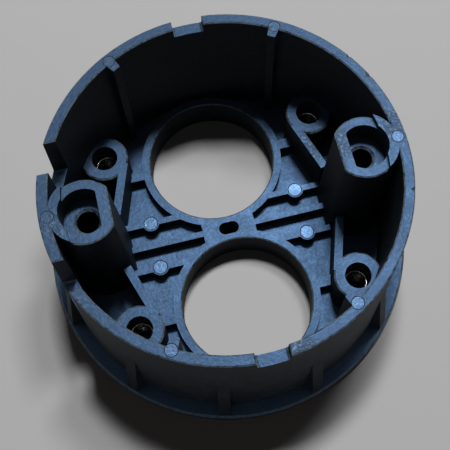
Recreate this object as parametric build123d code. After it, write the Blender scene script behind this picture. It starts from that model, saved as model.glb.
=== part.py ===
"""Round moulded housing, open on top: drafted shell on a gusseted foot flange, a ribbed floor with two
through bores, four insert bosses and two tall screw towers. Millimetres, +Z up, base on Z = 0."""

import os
from math import atan2, degrees, hypot, radians, tan

from build123d import *

# shell
HEIGHT = 46.5
RIM_RADIUS = 42.0
WALL = 2.5
OUTER_DRAFT = 1.5
INNER_DRAFT = 0.75
FLANGE_RADIUS = 46.7
FLANGE_THICKNESS = 3.0
FLANGE_CHAMFER = 0.6
FLOOR_TOP = 6.5
FLOOR_THICKNESS = 2.5
EDGE_BREAK = 0.3

# gussets between the shell and its foot flange
GUSSET_COUNT = 12
GUSSET_THICKNESS = 2.8
GUSSET_TOP = 26.0
GUSSET_SETBACK = 0.7

# stiffening ribs on the inside of the shell
INNER_RIB_ANGLES = (60.0, 120.0, 240.0, 300.0)
INNER_RIB_TIP_RADIUS = 37.2
INNER_RIB_TIP = 1.9
INNER_RIB_ROOT = 2.8

# openings in the rim
RIM_SLOT_WIDTH = 7.4
RIM_SLOT_DEPTH = 3.3
SIDE_SLOT_WIDTH = 7.1
SIDE_SLOT_OFFSET = 13.85
SIDE_SLOT_DEPTH = 15.5
SLOT_CORNER = 0.7

# through bores and their collars
BORE_RADIUS = 16.4
BORE_OFFSET = 19.66
COLLAR_WALL = 2.1
COLLAR_TOP = 10.4

# floor ribs, hub and ties
RIB_WIDTH = 1.5
RIB_PITCH = 6.1
RIB_REACH = 26.0
HUB_LENGTH = 13.6
HUB_WIDTH = 5.0
HUB_SLOT_LENGTH = 5.2
HUB_SLOT_WIDTH = 3.2
TIE_WIDTH = 2.6

# tall screw towers
TOWER_OFFSET = 32.4
TOWER_RADIUS = 7.6
TOWER_FLAT = 6.0
TOWER_CORNER = 1.2
TOWER_DRAFT = 1.8
TOWER_DROP = 1.65
TOWER_WALL = 2.2
SEAT_RADIUS = 36.7
POCKET_FLAT = 3.4
POCKET_CORNER = 0.8
POCKET_DEPTH = 6.7
POCKET_FLOOR = 3.0
SCREW_HOLE = 5.2
SCREW_LEAD = 0.6

# insert bosses and the webs that tie them to the towers
BOSS_SPACING_X = 54.0
BOSS_SPACING_Y = 45.2
BOSS_RADIUS = 5.9
BOSS_TOP = 19.9
BOSS_CHAMFER = 0.4
WEB_WIDTH = 2.0
WEB_START = (22.5, 20.2)
WEB_END = (26.9, 7.0)

# threaded inserts
INSERT_DIAMETER = 6.5
INSERT_BORE = 4.0
INSERT_LENGTH = 7.0
INSERT_DROP = 5.8
RELIEF_DEPTH = 1.7

# ejector pads on the floor
PAD_RADIUS = 2.1
PAD_OFFSET = (19.3, 6.0)

# chips in the outer edge of the rim: angle, width
RIM_CHIPS = ((-18.7, 1.6), (23.3, 2.4), (33.0, 1.1))
CHIP_DEPTH = 0.5

QUADRANTS = ((1, 1), (-1, 1), (-1, -1), (1, -1))
RIM_INNER = RIM_RADIUS - WALL
FLOOR_BOTTOM = FLOOR_TOP - FLOOR_THICKNESS
COLLAR_RADIUS = BORE_RADIUS + COLLAR_WALL
TOWER_TOP = HEIGHT - TOWER_DROP
POCKET_RADIUS = TOWER_RADIUS - TOWER_WALL
CORE_RADIUS = (TOWER_RADIUS + TOWER_FLAT) / 2 - TOWER_WALL
INSERT_TOP = BOSS_TOP - INSERT_DROP
INSERT_BOTTOM = INSERT_TOP - INSERT_LENGTH


def outer_radius(z):
    """Outer radius of the drafted shell at height z."""
    return RIM_RADIUS + (HEIGHT - z) * tan(radians(OUTER_DRAFT))


def inner_radius(z):
    """Inner radius of the drafted shell at height z."""
    return RIM_INNER - (HEIGHT - z) * tan(radians(INNER_DRAFT))


def prism(sketch, z, height):
    """Sketch extruded upwards from height z."""
    return Pos(0, 0, z) * extrude(sketch, height)


def mirrored(sketch):
    """A sketch on the +X side together with its copy turned half way round."""
    return sketch + Rot(0, 0, 180) * sketch


def shell():
    """Drafted cup with its floor plate, skirt and foot flange, turned from one profile."""
    skirt = outer_radius(0) - WALL
    profile = make_face(Polyline(
        (0, FLOOR_BOTTOM),
        (skirt, FLOOR_BOTTOM),
        (skirt, 0),
        (FLANGE_RADIUS, 0),
        (FLANGE_RADIUS, FLANGE_THICKNESS),
        (outer_radius(FLANGE_THICKNESS), FLANGE_THICKNESS),
        (RIM_RADIUS, HEIGHT),
        (RIM_INNER, HEIGHT),
        (inner_radius(FLOOR_TOP), FLOOR_TOP),
        (0, FLOOR_TOP),
        close=True,
    ))
    profile = chamfer(profile.vertices().group_by(Axis.Y)[-1], EDGE_BREAK)
    flange_edge = profile.vertices().group_by(Axis.X)[-1].sort_by(Axis.Y)[-1]
    return revolve(Plane.XZ * chamfer(flange_edge, FLANGE_CHAMFER), Axis.Z)


def gusset():
    """Triangular gusset from the flange up the outside of the shell."""
    root = RIM_RADIUS - WALL / 2
    profile = Polyline(
        (root, FLANGE_THICKNESS / 2),
        (FLANGE_RADIUS - GUSSET_SETBACK, FLANGE_THICKNESS / 2),
        (FLANGE_RADIUS - GUSSET_SETBACK, FLANGE_THICKNESS),
        (outer_radius(GUSSET_TOP), GUSSET_TOP),
        (root, GUSSET_TOP),
        close=True,
    )
    return extrude(Plane.XZ * make_face(profile), GUSSET_THICKNESS / 2, both=True)


def inner_rib():
    """Tapered vertical rib that stands inwards from the shell."""
    root = RIM_RADIUS - WALL / 2
    section = Polyline(
        (INNER_RIB_TIP_RADIUS, -INNER_RIB_TIP / 2),
        (INNER_RIB_TIP_RADIUS, INNER_RIB_TIP / 2),
        (root, INNER_RIB_ROOT / 2),
        (root, -INNER_RIB_ROOT / 2),
        close=True,
    )
    return prism(make_face(section), FLOOR_BOTTOM, HEIGHT - FLOOR_BOTTOM)


def flattened(radius, flat, corner):
    """Circle on the tower's axis, with a flat on the side that faces the housing axis."""
    disc = Circle(radius) & Pos(radius - flat, 0) * Rectangle(2 * radius, 2 * radius)
    return Pos(TOWER_OFFSET, 0) * fillet(disc.vertices(), corner)


def tower():
    """Drafted D-shaped post with a broken top edge, and the lug behind it that rises to the rim."""
    outline = flattened(TOWER_RADIUS, TOWER_FLAT, TOWER_CORNER)
    post = Pos(0, 0, TOWER_TOP) * extrude(outline, FLOOR_BOTTOM - TOWER_TOP, taper=-TOWER_DRAFT)
    post = chamfer(post.faces().sort_by(Axis.Z)[-1].edges(), EDGE_BREAK)
    return post + prism(outline - Circle(SEAT_RADIUS), TOWER_TOP - EDGE_BREAK, TOWER_DROP + EDGE_BREAK)


def tower_cut():
    """Screw pocket, screw hole with its lead-in, and the core that hollows the post from below."""
    floor = TOWER_TOP - POCKET_DEPTH
    cut = prism(flattened(POCKET_RADIUS, POCKET_FLAT, POCKET_CORNER), floor, HEIGHT - floor)
    axis = Pos(TOWER_OFFSET, 0, floor)
    cut += axis * Pos(0, 0, -SCREW_LEAD / 2) * Cone(SCREW_HOLE / 2, SCREW_HOLE / 2 + SCREW_LEAD, SCREW_LEAD)
    cut += axis * extrude(Circle(SCREW_HOLE / 2), -floor)
    core = Pos(TOWER_OFFSET + (TOWER_RADIUS - TOWER_FLAT) / 2, 0) * Circle(CORE_RADIUS)
    return cut + extrude(core, floor - POCKET_FLOOR)


def boss():
    """Round boss with a chamfered top edge."""
    post = prism(Circle(BOSS_RADIUS), FLOOR_BOTTOM, BOSS_TOP - FLOOR_BOTTOM)
    return chamfer(post.edges().group_by(Axis.Z)[-1], BOSS_CHAMFER)


def boss_cut():
    """Blind hole for one insert, deeper than the insert to leave room for the screw's end."""
    bottom = INSERT_BOTTOM - RELIEF_DEPTH
    return prism(Circle(INSERT_DIAMETER / 2), bottom, BOSS_TOP - bottom)


def web(sx, sy):
    """Slanted web from an insert boss to the nearest tower."""
    (x0, y0), (x1, y1) = WEB_START, WEB_END
    turn = degrees(atan2(sy * (y1 - y0), sx * (x1 - x0)))
    bar = Pos(sx * (x0 + x1) / 2, sy * (y0 + y1) / 2) * Rot(0, 0, turn)
    plan = bar * Rectangle(hypot(x1 - x0, y1 - y0), WEB_WIDTH)
    return prism(plan, FLOOR_BOTTOM, BOSS_TOP - FLOOR_BOTTOM)


def raised_floor():
    """Hub, floor ribs, ejector pads, and the collars with the ties to their insert bosses, in plan."""
    plan = Rectangle(HUB_LENGTH, HUB_WIDTH)
    for side in (-1, 0, 1):
        plan += Pos(0, side * RIB_PITCH) * Rectangle(2 * RIB_REACH, RIB_WIDTH)
    tie_start = BORE_RADIUS + COLLAR_WALL / 2
    tie_end = (BOSS_SPACING_X - BOSS_RADIUS) / 2
    for sx, sy in QUADRANTS:
        plan += Pos(sx * PAD_OFFSET[0], sy * PAD_OFFSET[1]) * Circle(PAD_RADIUS)
        tie = Pos(sx * (tie_start + tie_end) / 2, sy * BORE_OFFSET)
        plan += tie * Rectangle(tie_end - tie_start, TIE_WIDTH)
    for sy in (-1, 1):
        plan += Pos(0, sy * BORE_OFFSET) * Circle(COLLAR_RADIUS)
    return plan


def bore():
    """Through bore with a broken top edge."""
    edge = Cone(BORE_RADIUS, BORE_RADIUS + EDGE_BREAK, EDGE_BREAK)
    return prism(Circle(BORE_RADIUS), 0, COLLAR_TOP) + Pos(0, 0, COLLAR_TOP - EDGE_BREAK / 2) * edge


def slot_cutter(width, depth):
    """Upright slot across the +X side of the rim: round bottom corners and broken top edges."""
    half = width / 2
    section = make_face(Polyline(
        (-half, HEIGHT - depth),
        (half, HEIGHT - depth),
        (half, HEIGHT - EDGE_BREAK),
        (half + EDGE_BREAK, HEIGHT),
        (-half - EDGE_BREAK, HEIGHT),
        (-half, HEIGHT - EDGE_BREAK),
        close=True,
    ))
    section = fillet(section.vertices().group_by(Axis.Y)[0], SLOT_CORNER)
    return extrude(Plane.YZ * section, FLANGE_RADIUS)


def rim_slots():
    """Two shallow slots across the rim and two deep ones beside the left tower."""
    cut = Rot(0, 0, 90) * slot_cutter(RIM_SLOT_WIDTH, RIM_SLOT_DEPTH)
    cut += Rot(0, 0, -90) * slot_cutter(RIM_SLOT_WIDTH, RIM_SLOT_DEPTH)
    for sy in (-1, 1):
        deep = Rot(0, 0, 180) * slot_cutter(SIDE_SLOT_WIDTH, SIDE_SLOT_DEPTH)
        cut += Pos(0, sy * SIDE_SLOT_OFFSET) * deep
    return cut - prism(Circle(SEAT_RADIUS), 0, HEIGHT)


def chips():
    """Small slanting flakes missing from the outer edge of the rim."""
    cut = Part()
    for angle, width in RIM_CHIPS:
        flake = Rot(0, 45, 0) * Box(2 * CHIP_DEPTH, width, 2 * CHIP_DEPTH)
        cut += Rot(0, 0, angle) * Pos(RIM_RADIUS, 0, HEIGHT) * Rot(0, 0, 45) * flake
    return cut


def housing():
    """The one-piece moulding."""
    body = shell()
    for i in range(GUSSET_COUNT):
        body += Rot(0, 0, (i + 0.5) * 360 / GUSSET_COUNT) * gusset()
    for angle in INNER_RIB_ANGLES:
        body += Rot(0, 0, angle) * inner_rib()
    body += prism(raised_floor(), FLOOR_BOTTOM, COLLAR_TOP - FLOOR_BOTTOM)
    for sy in (-1, 1):
        body += Pos(0, sy * BORE_OFFSET) * prism(Circle(COLLAR_RADIUS), 0, FLOOR_TOP)
    body += mirrored(tower())
    for sx, sy in QUADRANTS:
        body += web(sx, sy)
    posts = GridLocations(BOSS_SPACING_X, BOSS_SPACING_Y, 2, 2)
    for place in posts:
        body += place * boss()

    body -= mirrored(tower_cut())
    for place in posts:
        body -= place * boss_cut()
    for sy in (-1, 1):
        body -= Pos(0, sy * BORE_OFFSET) * bore()
    body -= prism(SlotOverall(HUB_SLOT_LENGTH, HUB_SLOT_WIDTH), 0, COLLAR_TOP)
    return body - rim_slots() - chips()


def insert():
    """Metal bush with a plain core for its thread."""
    section = Circle(INSERT_DIAMETER / 2) - Circle(INSERT_BORE / 2)
    return prism(section, INSERT_BOTTOM, INSERT_LENGTH)


os.makedirs("parts", exist_ok=True)
export_step(housing(), "parts/housing.step")
for number, place in enumerate(GridLocations(BOSS_SPACING_X, BOSS_SPACING_Y, 2, 2), start=1):
    export_step(place * insert(), f"parts/insert_{number}.step")
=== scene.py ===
"""Looks of the round moulded housing: black plastic with four threaded metal inserts, on a pale floor.
Lengths are in metres unless a name says mm, and the materials work in millimetres of Object coordinates."""

import bpy
import numpy as np
from mathutils import Matrix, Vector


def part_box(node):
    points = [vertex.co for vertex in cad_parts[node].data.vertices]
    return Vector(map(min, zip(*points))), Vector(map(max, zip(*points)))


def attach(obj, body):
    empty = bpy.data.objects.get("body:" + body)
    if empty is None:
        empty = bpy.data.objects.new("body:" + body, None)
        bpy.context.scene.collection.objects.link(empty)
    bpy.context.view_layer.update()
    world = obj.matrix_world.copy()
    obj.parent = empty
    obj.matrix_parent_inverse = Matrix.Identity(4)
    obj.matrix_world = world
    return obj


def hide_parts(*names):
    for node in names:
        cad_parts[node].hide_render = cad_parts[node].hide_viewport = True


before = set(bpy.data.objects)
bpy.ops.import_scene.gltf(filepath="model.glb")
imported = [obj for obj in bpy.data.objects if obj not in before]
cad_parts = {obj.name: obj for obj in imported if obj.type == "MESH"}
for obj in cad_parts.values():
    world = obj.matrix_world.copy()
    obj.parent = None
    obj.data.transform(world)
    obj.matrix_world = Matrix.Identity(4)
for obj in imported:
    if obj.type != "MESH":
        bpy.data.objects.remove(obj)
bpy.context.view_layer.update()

MM = 0.001

# Camera: looks steeply down on the open side of the housing from its front left. Its frame is an off-centre
# part of a wider view, which is its shift.
CAMERA_PLACE_MM = (-14.53, -73.16, 232.09)
CAMERA_RIGHT = (0.96733, -0.25209, 0.02675)
CAMERA_UP = (0.22084, 0.88979, 0.39937)
CAMERA_BACK = (-0.12448, -0.38042, 0.91640)
CAMERA_LENS_MM = 72.0
CAMERA_SHIFT = (-0.0976, -0.1679)

lens = bpy.data.cameras.new("camera")
lens.lens = CAMERA_LENS_MM
lens.shift_x, lens.shift_y = CAMERA_SHIFT
camera = bpy.data.objects.new("camera", lens)
turn = Matrix((CAMERA_RIGHT, CAMERA_UP, CAMERA_BACK)).transposed().to_4x4()
camera.matrix_world = Matrix.Translation([c * MM for c in CAMERA_PLACE_MM]) @ turn
bpy.context.scene.collection.objects.link(camera)
bpy.context.scene.camera = camera


# Studio light: two soft panels high behind the housing, a little cool, which every upward face mirrors to
# the camera. The second is further right and weaker. The view transform is the plain one.
PANELS = (  # direction, side in metres, watts
    ((0.08, 0.28, 1.0), 0.09, 7.8),
    ((0.27, 0.33, 1.0), 0.13, 4.4),
)
PANEL_DISTANCE = 0.90
PANEL_COLOUR = (0.86, 0.94, 1.0)

for number, (towards, size, watts) in enumerate(PANELS, 1):
    lamp = bpy.data.lights.new(f"panel_{number}", "AREA")
    lamp.size = size
    lamp.energy = watts
    lamp.color = PANEL_COLOUR
    panel = bpy.data.objects.new(f"panel_{number}", lamp)
    towards = np.array(towards) / np.linalg.norm(towards)
    side = np.cross((0.0, 1.0, 0.0), towards)
    side /= np.linalg.norm(side)
    turn = Matrix((side, np.cross(towards, side), towards)).transposed().to_4x4()
    panel.matrix_world = Matrix.Translation(towards * PANEL_DISTANCE) @ turn
    bpy.context.scene.collection.objects.link(panel)
bpy.context.scene.view_settings.view_transform = "Standard"


# Room: an even white surround, dim as a light. It is white where the camera looks past the floor, and where
# gloss or glass mirrors it.
ROOM_STRENGTH = 0.034


class Signal:
    """A number, colour or vector that a material works out over a surface, which operators build on."""

    def __init__(self, tree, socket=None):
        self.tree = tree
        self.socket = socket

    def node(self, kind, settings={}, sockets={}, out=0):
        """Adds a node of that kind, its settings first and then values or signals into its sockets."""
        made = self.tree.nodes.new("ShaderNode" + kind)
        for name, value in settings.items():
            setattr(made, name, value)
        for name, value in sockets.items():
            if isinstance(value, Signal):
                self.tree.links.new(value.socket, made.inputs[name])
            else:
                made.inputs[name].default_value = value
        return Signal(self.tree, made.outputs[out] if len(made.outputs) else None)

    def maths(self, operation, *values):
        return self.node("Math", {"operation": operation}, dict(enumerate(values)))

    def __add__(self, other):
        return self.maths("ADD", self, other)

    def __sub__(self, other):
        return self.maths("SUBTRACT", self, other)

    def __rsub__(self, other):
        return self.maths("SUBTRACT", other, self)

    def __mul__(self, other):
        return self.maths("MULTIPLY", self, other)

    def __abs__(self):
        return self.maths("ABSOLUTE", self)

    __radd__ = __add__
    __rmul__ = __mul__


room = bpy.data.worlds.new("room")
room.use_nodes = True
room.node_tree.nodes.clear()
air = Signal(room.node_tree)
rays = [air.node("LightPath", out=f"Is {ray} Ray") for ray in ("Camera", "Glossy", "Transmission")]
seen = rays[0].maths("MAXIMUM", rays[0].maths("MAXIMUM", rays[0], rays[1]), rays[2])
glow = air.node("Background", {}, {"Strength": ROOM_STRENGTH + (1 - ROOM_STRENGTH) * seen})
air.node("OutputWorld", {}, {"Surface": glow})
bpy.context.scene.world = room


# Floor: a wide, plain sheet of pale matt board under the housing. It isn't part of the object.
FLOOR_SIZE = 6.0
FLOOR_DROP = 0.00005
FLOOR_COLOUR = (0.33, 0.30, 0.285)
FLOOR_ROUGHNESS = 0.9
FLOOR_GLOSS = 0.2


def surface(name, points, closed_u=False, closed_v=False):
    """A smooth mesh from a grid of points, rows x columns x 3: each cell is a face, and a closed direction
    joins its last row or column to its first."""
    rows, columns = points.shape[:2]
    index = np.arange(rows * columns).reshape(rows, columns)
    if closed_u:
        index = np.vstack([index, index[:1]])
    if closed_v:
        index = np.hstack([index, index[:, :1]])
    corners = np.stack([index[:-1, :-1], index[:-1, 1:], index[1:, 1:], index[1:, :-1]], axis=-1)
    corners = corners.reshape(-1, 4)
    mesh = bpy.data.meshes.new(name)
    mesh.from_pydata(points.reshape(-1, 3), [], corners.tolist())
    mesh.polygons.foreach_set("use_smooth", np.ones(len(corners), dtype=bool))
    piece = bpy.data.objects.new(name, mesh)
    bpy.context.scene.collection.objects.link(piece)
    return piece


def finish_named(name):
    """A new, empty node material, and the signal that its nodes are made from."""
    finish = bpy.data.materials.new(name)
    finish.use_nodes = True
    finish.node_tree.nodes.clear()
    return finish, Signal(finish.node_tree)


along = np.linspace(-FLOOR_SIZE / 2, FLOOR_SIZE / 2, 2)
x, y = np.meshgrid(along, along)
floor = surface("floor", np.stack([x, y, np.full_like(x, -FLOOR_DROP)], axis=-1))
board, sig = finish_named("pale_board")
skin = sig.node("BsdfPrincipled", {}, {
    "Base Color": (*FLOOR_COLOUR, 1.0),
    "Roughness": FLOOR_ROUGHNESS,
    "Specular IOR Level": FLOOR_GLOSS,
})
sig.node("OutputMaterial", {}, {"Surface": skin})
floor.data.materials.append(board)


# Housing: one injection moulding in black glass-filled plastic. Its finish is a fine spark-eroded grain with
# polished ejector marks and scuffs where it was handled, and its chamfered edges and ejector marks carry a
# painted highlight in their colour.
BLACK = (0.004, 0.006, 0.009)
# The lighter colour below serves for wear and for the painted highlight on chamfers and ejector marks.
WORN_AND_HIGHLIT = (0.13, 0.165, 0.20)
SHEEN_TINT = (0.32, 0.565, 1.0)
RIM_TOP_MM = 46.5
MARK_CIRCLE_MM = 40.0
MARK_RADIUS_MM = 1.45
PAD_PLACE_MM = (19.3, 6.0)
PAD_TOP_MM = 10.4
PAD_MARK_RADIUS_MM = 1.8
MARK_DEPTH_MM = 0.2
GRAIN_PER_MM = 1.5
GRAIN_HEIGHT_MM = 0.026
PATCHES_PER_MM = 0.9
PATCH_HEIGHT_MM = 0.045
CLOUDS_PER_MM = 0.22
FACE_ROUGHNESS = 0.27
FACE_GLOSS = 0.38
WALL_ROUGHNESS = 0.50
WALL_GLOSS = 0.09
# The last scuff, on the rim by the near-left slot, sits where the rim glints, so it is partly wear and
# partly a painted highlight.
SCUFFS_MM = (  # x, y, z of the middle and the reach
    (27.0, 1.9, 44.85, 5.5), (40.9, 2.7, 46.5, 6.0), (-38.2, -2.0, 46.5, 4.5),
    (25.4, 13.5, 19.9, 7.0), (6.0, -41.0, 46.5, 4.5), (-37.2, -20.8, 46.5, 2.5),
)

plastic, sig = finish_named("moulded_plastic")
place = sig.node("TexCoord", out="Object")
point = place.node("VectorMath", {"operation": "SCALE"}, {"Vector": place, "Scale": 1 / MM})
x, y, z = (point.node("SeparateXYZ", {}, {"Vector": point}, out) for out in "XYZ")
up = place.node("SeparateXYZ", {}, {"Vector": place.node("TexCoord", out="Normal")}, "Z")
radius = x.maths("SQRT", x * x + y * y)


def step(signal, low, high):
    """Eases from 0 at low to 1 at high."""
    return signal.node("MapRange", {"interpolation_type": "SMOOTHSTEP"},
                       {"Value": signal, "From Min": low, "From Max": high})


def noise(scale, detail, roughness=0.55):
    """Cloudy noise with a value near 0.5, its scale in turns per millimetre."""
    return point.node("TexNoise", {}, {
        "Vector": point,
        "Scale": scale,
        "Detail": detail,
        "Roughness": roughness,
    })


def distance(a, b):
    """Length of the vector from the origin to (a, b)."""
    return a.maths("SQRT", a * a + b * b)


def blend(share, first, second):
    """The first colour where share is 0 and the second where it is 1."""
    first, second = (c if isinstance(c, Signal) else (*c, 1.0) for c in (first, second))
    return share.node("Mix", {"data_type": "RGBA"}, {0: share, 6: first, 7: second}, 2)


def near(centre, reach):
    """Falls from 1 at a centre to 0 at a reach from it, in millimetres."""
    away = point.node("VectorMath", {"operation": "DISTANCE"}, {0: point, 1: centre}, "Value")
    return 1 - step(away, reach * 0.3, reach)


# Ejector marks: one at each sixth of the rim, which the angle is folded into, and one on each of four pads.
angle = y.maths("ARCTAN2", y, x)
folded = angle.maths("WRAP", angle, np.pi / 6, -np.pi / 6)
outwards = radius * folded.maths("COSINE", folded)
rim_mark = distance(outwards - MARK_CIRCLE_MM, radius * folded.maths("SINE", folded))
pad_mark = distance(abs(x) - PAD_PLACE_MM[0], abs(y) - PAD_PLACE_MM[1])
on_rim = step(z, RIM_TOP_MM - 0.1, RIM_TOP_MM - 0.05)
on_pads = step(z, PAD_TOP_MM - 0.1, PAD_TOP_MM - 0.05) * (1 - step(z, PAD_TOP_MM + 0.05, PAD_TOP_MM + 0.1))
rim_disc = on_rim * (1 - step(rim_mark, MARK_RADIUS_MM - 0.15, MARK_RADIUS_MM + 0.05))
pad_disc = on_pads * (1 - step(pad_mark, PAD_MARK_RADIUS_MM - 0.15, PAD_MARK_RADIUS_MM + 0.05))
disc = rim_disc + pad_disc

# Grain, wear and painted highlight: chamfers are what leans half upwards, and their patchy lighter colour is
# a painted edge highlight; the scuffed places are lighter from wear.
grain = noise(GRAIN_PER_MM, 4.0, 0.7)
cloud = noise(CLOUDS_PER_MM, 4.0)
patch = noise(PATCHES_PER_MM, 4.0, 0.65)
speckle = step(grain, 0.44, 0.60)
chamfer = step(up, 0.45, 0.55) * (1 - step(up, 0.85, 0.93))
scuffed = 0.0
for *centre, reach in SCUFFS_MM:
    scuffed = near(centre, reach) + scuffed
scuffed = scuffed.maths("MINIMUM", scuffed, 1.0) * step(patch, 0.42, 0.60) * (1 - disc)
freckled = speckle * step(cloud, 0.40, 0.62)
# The chamfers' share is a painted edge highlight, the scuffs' share is wear, and the freckles are lighter
# grain.
wear_and_highlight = chamfer * step(patch, 0.30, 0.62) * 0.55 + scuffed * 0.35 + freckled * 0.08
# The ejector marks are lifted a little towards the lighter colour, a painted highlight of their polished
# faces.
colour = blend(wear_and_highlight + disc * 0.10, BLACK, WORN_AND_HIGHLIT)
height = grain * GRAIN_HEIGHT_MM + patch * PATCH_HEIGHT_MM * (1 + scuffed * 2.0) - disc * MARK_DEPTH_MM
relief = sig.node("Bump", {}, {"Height": height * MM, "Distance": 1.0})

# Faces that look up mirror the panels with a steel blue sheen, and the drafted walls are duller.
faces = sig.node("BsdfPrincipled", {}, {
    "Base Color": colour,
    "Roughness": FACE_ROUGHNESS + 0.22 * cloud + 0.045 * (1 - speckle) - 0.12 * disc - 0.05 * scuffed,
    "Specular IOR Level": FACE_GLOSS,
    "Specular Tint": (*SHEEN_TINT, 1.0),
    "Normal": relief,
})
walls = sig.node("BsdfPrincipled", {}, {
    "Base Color": colour,
    "Roughness": WALL_ROUGHNESS + 0.20 * cloud,
    "Specular IOR Level": WALL_GLOSS,
    "Normal": relief,
})
skin = sig.node("MixShader", {}, {0: 1 - step(up, 0.15, 0.35), 1: faces, 2: walls})
sig.node("OutputMaterial", {}, {"Surface": skin})
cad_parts["housing"].data.materials.clear()
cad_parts["housing"].data.materials.append(plastic)


# Inserts: four plated metal bushes pressed into the bosses. Each has a turned top face, a chamfered mouth
# and a thread cut right through.
THREAD_MAJOR_MM = 2.4
THREAD_MINOR_MM = 2.0
THREAD_PITCH_MM = 0.8
THREAD_STEEPNESS = 1.25
THREAD_CREST = 0.1
MOUTH_MM = 0.2
BEVEL_MM = 0.2
SOFTENING_MM = 0.12
TURNING_HEIGHT_MM = 0.004
BUSH_SEGMENTS = 96
TURN_SAMPLES = 10
PLATING = (0.17, 0.17, 0.165)
TARNISH = (0.07, 0.055, 0.045)

metal, sig = finish_named("plated_metal")
place = sig.node("TexCoord", out="Object")
point = place.node("VectorMath", {"operation": "SCALE"}, {"Vector": place, "Scale": 1 / MM})
tarnish = noise(1.5, 3.0)
skin = sig.node("BsdfPrincipled", {}, {
    "Base Color": blend(step(tarnish, 0.42, 0.62), PLATING, TARNISH),
    "Metallic": 1.0,
    "Roughness": 0.12 + 0.22 * tarnish,
    "Normal": sig.node("Bump", {}, {"Height": noise(6.0, 2.0) * TURNING_HEIGHT_MM * MM, "Distance": 1.0}),
})
sig.node("OutputMaterial", {}, {"Surface": skin})


def bush(name, low, high):
    """A threaded bush between two corners of a box: u goes clockwise round the axis, and v goes down the
    thread, out along the bottom, up the outside and back in over the top, which turns the faces outwards.
    On the thread the radius is the minor one plus a triangle wave of z / pitch - u / turn, held above the
    mouth's cone. The outer edges are bevels, and the rows near each edge round it off, so that it glints."""
    axis = (low + high) / 2 / MM
    bottom, top = low[2] / MM, high[2] / MM
    outside = (high[0] - low[0]) / 2 / MM
    steps = int(round((top - bottom) / THREAD_PITCH_MM * TURN_SAMPLES))
    z_in = np.linspace(top, bottom, steps)
    turns = -np.arange(BUSH_SEGMENTS) / BUSH_SEGMENTS
    wave = 1 - abs(2 * ((z_in[None, :] / THREAD_PITCH_MM - turns[:, None]) % 1) - 1)
    depth = np.clip(wave * THREAD_STEEPNESS - THREAD_CREST, 0, 1) * (THREAD_MAJOR_MM - THREAD_MINOR_MM)
    ring = THREAD_MAJOR_MM + MOUTH_MM
    mouth = ring - (top - z_in)
    r_in = np.maximum(THREAD_MINOR_MM + depth, mouth[None, :])
    outline = np.array([
        (THREAD_MAJOR_MM, bottom),
        (outside - SOFTENING_MM, bottom),
        (outside, bottom + SOFTENING_MM),
        (outside, top - BEVEL_MM - SOFTENING_MM),
        (outside - SOFTENING_MM, top - BEVEL_MM),
        (outside - BEVEL_MM + SOFTENING_MM, top - SOFTENING_MM),
        (outside - BEVEL_MM - SOFTENING_MM, top),
        (ring + SOFTENING_MM, top),
    ])
    r = np.hstack([r_in, np.broadcast_to(outline[:, 0], (BUSH_SEGMENTS, len(outline)))])
    zz = np.broadcast_to(np.hstack([z_in, outline[:, 1]]), r.shape)
    around = 2 * np.pi * turns[:, None]
    points = np.stack([axis[0] + r * np.cos(around), axis[1] + r * np.sin(around), zz], axis=-1) * MM
    return surface(name, points, closed_u=True, closed_v=True)


for number in range(1, 5):
    low, high = (np.array(corner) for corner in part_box(f"insert_{number}"))
    piece = bush(f"threaded_insert_{number}", low, high)
    piece.data.materials.append(metal)
    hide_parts(f"insert_{number}")
    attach(piece, "root")
